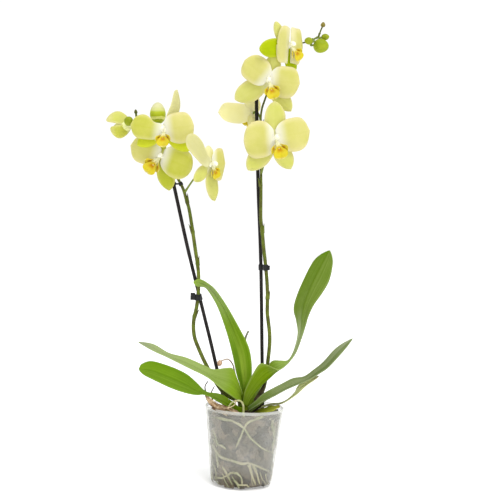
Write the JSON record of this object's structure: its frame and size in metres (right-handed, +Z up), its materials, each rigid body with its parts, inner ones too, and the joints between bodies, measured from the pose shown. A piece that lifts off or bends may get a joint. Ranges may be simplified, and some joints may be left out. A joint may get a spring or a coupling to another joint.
{
  "type": "potted orchid",
  "caption": "Potted moth orchid: a clear nursery pot of bark and roots, arching strap leaves and two staked flower stems with yellow blooms.",
  "frame": {"origin": "centre of the pot's underside, on the surface it stands on", "axes": "+Z up, +X to the right and -Y towards the side that the blooms face"},
  "size_m": [0.3876, 0.1266, 0.7091],
  "materials": {
    "pot": "frosted clear",
    "bark": "rough bark",
    "root": "matt",
    "leaf": "satin",
    "leaf_old": "satin",
    "stem": "satin",
    "dry_sheath": "papery",
    "stick": "satin",
    "clip": "satin",
    "petal": "soft matt",
    "lip": "soft matt",
    "column": "soft matt",
    "bud": "soft matt"
  },
  "bodies": {
    "root": {"bark_mix": "bark", "bloom_left_1_column": "column", "bloom_left_1_lip": "lip", "bloom_left_1_petals": "petal", "bloom_left_2_column": "column", "bloom_left_2_lip": "lip", "bloom_left_2_petals": "petal", "bloom_left_3_column": "column", "bloom_left_3_lip": "lip", "bloom_left_3_petals": "petal", "bloom_right_1_column": "column", "bloom_right_1_lip": "lip", "bloom_right_1_petals": "petal", "bloom_right_2_column": "column", "bloom_right_2_lip": "lip", "bloom_right_2_petals": "petal", "bloom_right_3_column": "column", "bloom_right_3_lip": "lip", "bloom_right_3_petals": "petal", "bloom_right_4_column": "column", "bloom_right_4_lip": "lip", "bloom_right_4_petals": "petal", "bud_left_large": "bud", "bud_left_small": "bud", "bud_right_far": "bud", "bud_right_large": "bud", "bud_right_near": "bud", "clip_left_middle": "clip", "clip_left_top": "clip", "clip_right": "clip", "crown": "leaf", "dried_sheath": "dry_sheath", "flower_opening": "bud", "flower_stem_left": "stem", "flower_stem_right": "stem", "leaf_long_right": "leaf", "leaf_lower_left": "leaf", "leaf_stub": "leaf_old", "leaf_tall_right": "leaf", "leaf_thin_stalked": "leaf_old", "leaf_upper_left": "leaf", "leaf_upright": "leaf", "pot": "pot", "roots": "root", "stick_left": "stick", "stick_right": "stick"}
  },
  "joints": []
}
